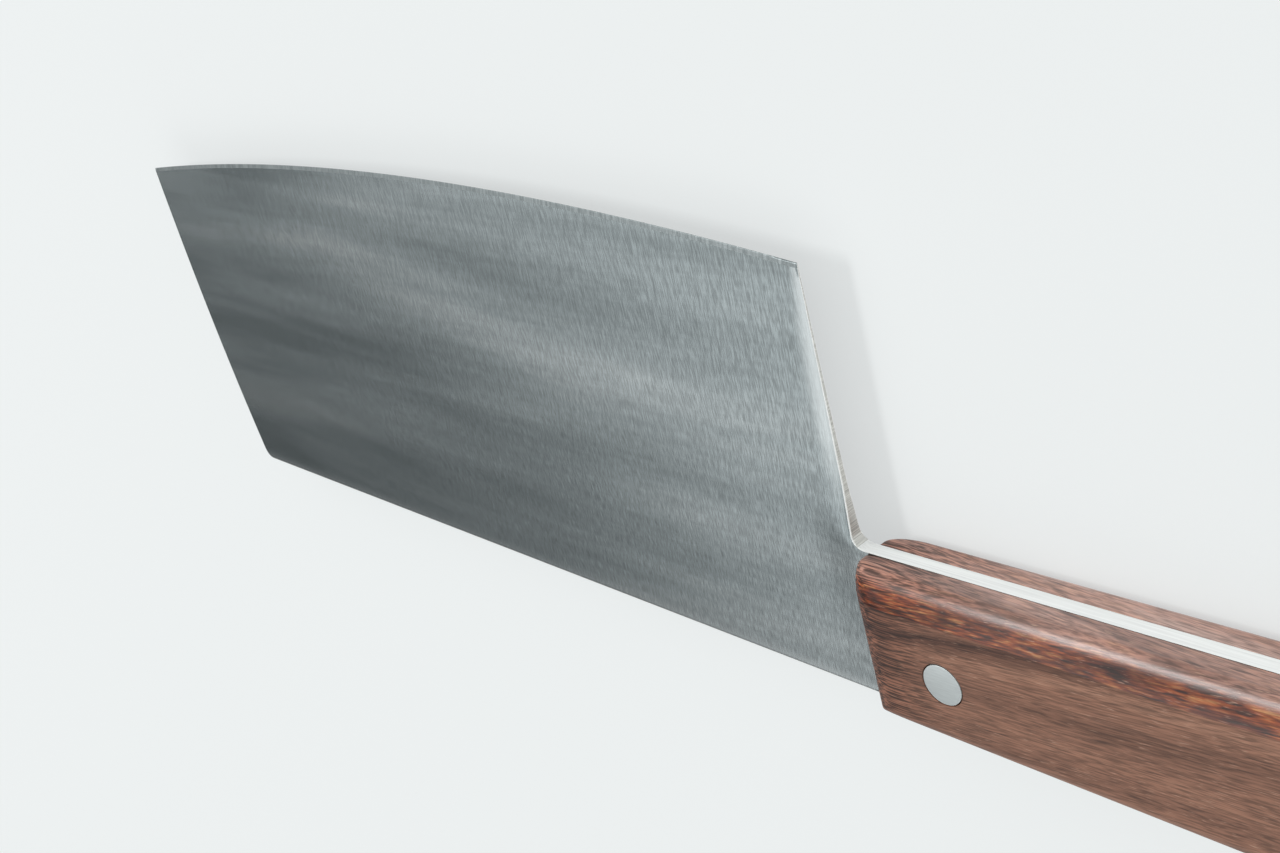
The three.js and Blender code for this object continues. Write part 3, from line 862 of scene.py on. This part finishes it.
def tang_hole(centre):
    profile = [(0.0, SEAT), (SLEEVE_HOLE_RADIUS, SEAT), (SLEEVE_HOLE_RADIUS, -SEAT), (0.0, -SEAT)]
    return spun(profile, "tang_hole", centre, [])


def rivet_centre(node):
    low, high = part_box(node)
    return ((low + high) / 2 - KNIFE_ORIGIN).xy / MM


# The knife. Each scale has its side of the steel, its board's place in the log, in metres, and a point on
# its dark vein, in knife millimetres.
SCALES = {
    "upper": (1, (0.0, 0.0, 0.0), (SCALE_FRONT + 20.7, 22.3, HALF_HANDLE)),
    "lower": (-1, (0.31, 0.07, 0.05), (SCALE_FRONT + 60.0, 9.0, -HALF_HANDLE)),
}
rivets = {place: rivet_centre(f"{place}_rivet_sleeve") for place in ("front", "rear")}

blade = make_blade([satin_ground_steel(), surface_ground_steel(), polished_steel_painted_white(), whetted_steel_painted_dark()])
for centre in rivets.values():
    cut_away(blade, tang_hole(centre))
dress(blade, "blade_and_tang")

for place, (side, shift, vein) in SCALES.items():
    woods = [rosewood(place, finish, shift, vein) for finish in WOOD_FINISHES]
    wooden = make_scale(f"{place}_wooden_scale", side, woods)
    for centre in rivets.values():
        cut_away(wooden, rivet_hole(centre, side))
    dress(wooden, f"{place}_scale")

aluminium = satin_aluminium()
for place, centre in rivets.items():
    make_rivet(place, centre, aluminium)

# Stage, in metres
FLOOR_SIZE = 40.0
FLOOR_GLOW = 0.6
LAMP_PLACE = Vector((-1.55, 0.9, 3.0))
LAMP_AIM = Vector((-1.55, 0.91, 0.0))
LAMP_WIDTH, LAMP_LENGTH = 0.7, 1.2
LAMP_POWER = 46.0
CAMERA_PLACE = Vector((0.22424, 0.124867, 0.17208))
CAMERA_BACK = Vector((0.72702, 0.41908, 0.54389))
CAMERA_UP = Vector((-0.1778, 0.88002, -0.4404))
CAMERA_NEAR = 0.01
PHOTO_WIDTH = 1280         # pixels
FOCAL_PIXELS = 1600
SENSOR_WIDTH = 36.0        # millimetres

# The sky, by direction: pale all round, with one soft dark card beyond the tip and the spine for the steel
# to mirror. Along each axis the card ends between two values, where the pale sky sets in.
CARD_ENDS = {"X": (-0.4, 0.0), "Y": (0.0, 0.4), "Z": (0.19, 0.12)}
CARD_RISE = (0.88, 0.8, 1.0)                        # the way in which the card turns from dark to pale
CARD_RANGE = {"From Min": -0.9, "From Max": 1.1}    # levels along it that the tones span
CARD_TONES = {0.0: "#16191B", 0.19: "#202527", 0.305: "#FAFCFC", 0.45: "#E6EAEA"}
# By height, the sky is as pale as the floor at the horizon, and dimmer overhead
SKY_TONES = {0.0: "#E5E5E5", 0.03: "#E5E5E5", 0.08: "#FFFFFF", 0.74: "#FFFFFF", 0.88: "#9CA0A1"}
SKY_STRENGTH = 1.2


def make_floor():
    """A pale floor with a faint glow of its own for the camera and for reflections, to soften shadows."""
    material = new_material("pale_floor")
    tree = material.node_tree
    paper = add(tree, "BsdfPrincipled", {"Base Color": srgb("#EAEDED"), "Roughness": 0.8,
                                         "Specular IOR Level": 0.2})
    glow = add(tree, "Emission", {"Color": srgb("#F0F2F2"), "Strength": 1.0})
    rays = add(tree, "LightPath").outputs
    seen = rays["Is Camera Ray"]
    for ray in ("Is Glossy Ray", "Is Transmission Ray"):
        seen = add(tree, "Math", {0: seen, 1: rays[ray]}, operation="MAXIMUM").outputs[0]
    share = add(tree, "Math", {0: seen, 1: FLOOR_GLOW}, operation="MULTIPLY")
    mixed = add(tree, "MixShader", {0: share.outputs[0], 1: paper.outputs[0], 2: glow.outputs[0]})
    add(tree, "OutputMaterial", {"Surface": mixed.outputs[0]})
    bm = bmesh.new()
    bmesh.ops.create_grid(bm, x_segments=1, y_segments=1, size=FLOOR_SIZE / 2)
    mesh = bpy.data.meshes.new("floor")
    bm.to_mesh(mesh)
    bm.free()
    mesh.materials.append(material)
    floor = bpy.data.objects.new("floor", mesh)
    bpy.context.scene.collection.objects.link(floor)


def make_softbox():
    """A distant lamp that lays the soft highlight along the belly's rounding."""
    lamp = bpy.data.lights.new("overhead", "AREA")
    lamp.shape = "RECTANGLE"
    lamp.size = LAMP_WIDTH
    lamp.size_y = LAMP_LENGTH
    lamp.energy = LAMP_POWER
    stand = bpy.data.objects.new("overhead", lamp)
    stand.location = LAMP_PLACE
    stand.rotation_euler = (LAMP_AIM - LAMP_PLACE).to_track_quat("-Z", "Y").to_euler()
    bpy.context.scene.collection.objects.link(stand)


def make_world():
    """The sky: the card's tones, turned pale past its ends, and dimmed at the horizon and overhead."""
    world = bpy.data.worlds.new("studio")
    world.use_nodes = True
    tree = world.node_tree
    tree.nodes.clear()
    sky = add(tree, "TexCoord").outputs["Generated"]
    axes = add(tree, "SeparateXYZ", {0: sky}).outputs
    rise = add(tree, "VectorMath", {0: sky, 1: CARD_RISE}, operation="DOT_PRODUCT").outputs["Value"]
    past = 0.0
    for axis, (card, pale) in CARD_ENDS.items():
        end = add(tree, "MapRange", {"Value": axes[axis], "From Min": card, "From Max": pale},
                  interpolation_type="SMOOTHSTEP")
        past = add(tree, "Math", {0: past, 1: end.outputs[0]}, operation="MAXIMUM").outputs[0]
    level = add(tree, "Math", {0: rise, 1: past}, operation="ADD").outputs[0]
    reach = add(tree, "MapRange", {"Value": level, **CARD_RANGE}).outputs[0]
    glow = add(tree, "ValToRGB", {"Fac": reach}, CARD_TONES).outputs["Color"]
    dimming = add(tree, "ValToRGB", {"Fac": axes["Z"]}, SKY_TONES).outputs["Color"]
    dimmed = add(tree, "Mix", {MIX_FACTOR: 1.0, MIX_A: glow, MIX_B: dimming}, **MULTIPLIED)
    light = add(tree, "Background", {"Color": dimmed.outputs[MIX_COLOR], "Strength": SKY_STRENGTH})
    add(tree, "OutputWorld", {"Surface": light.outputs[0]})
    bpy.context.scene.world = world


def make_camera():
    """The photograph's viewpoint."""
    camera = bpy.data.cameras.new("camera")
    camera.sensor_fit = "HORIZONTAL"
    camera.sensor_width = SENSOR_WIDTH
    camera.lens = SENSOR_WIDTH * FOCAL_PIXELS / PHOTO_WIDTH
    camera.clip_start = CAMERA_NEAR
    stand = bpy.data.objects.new("camera", camera)
    back = CAMERA_BACK.normalized()
    right = CAMERA_UP.cross(back).normalized()
    up = back.cross(right)
    turn = Matrix((right, up, back)).transposed()
    stand.matrix_world = Matrix.Translation(CAMERA_PLACE) @ turn.to_4x4()
    bpy.context.scene.collection.objects.link(stand)
    bpy.context.scene.camera = stand


make_floor()
make_world()
make_camera()
make_softbox()
bpy.context.scene.view_settings.view_transform = "Standard"
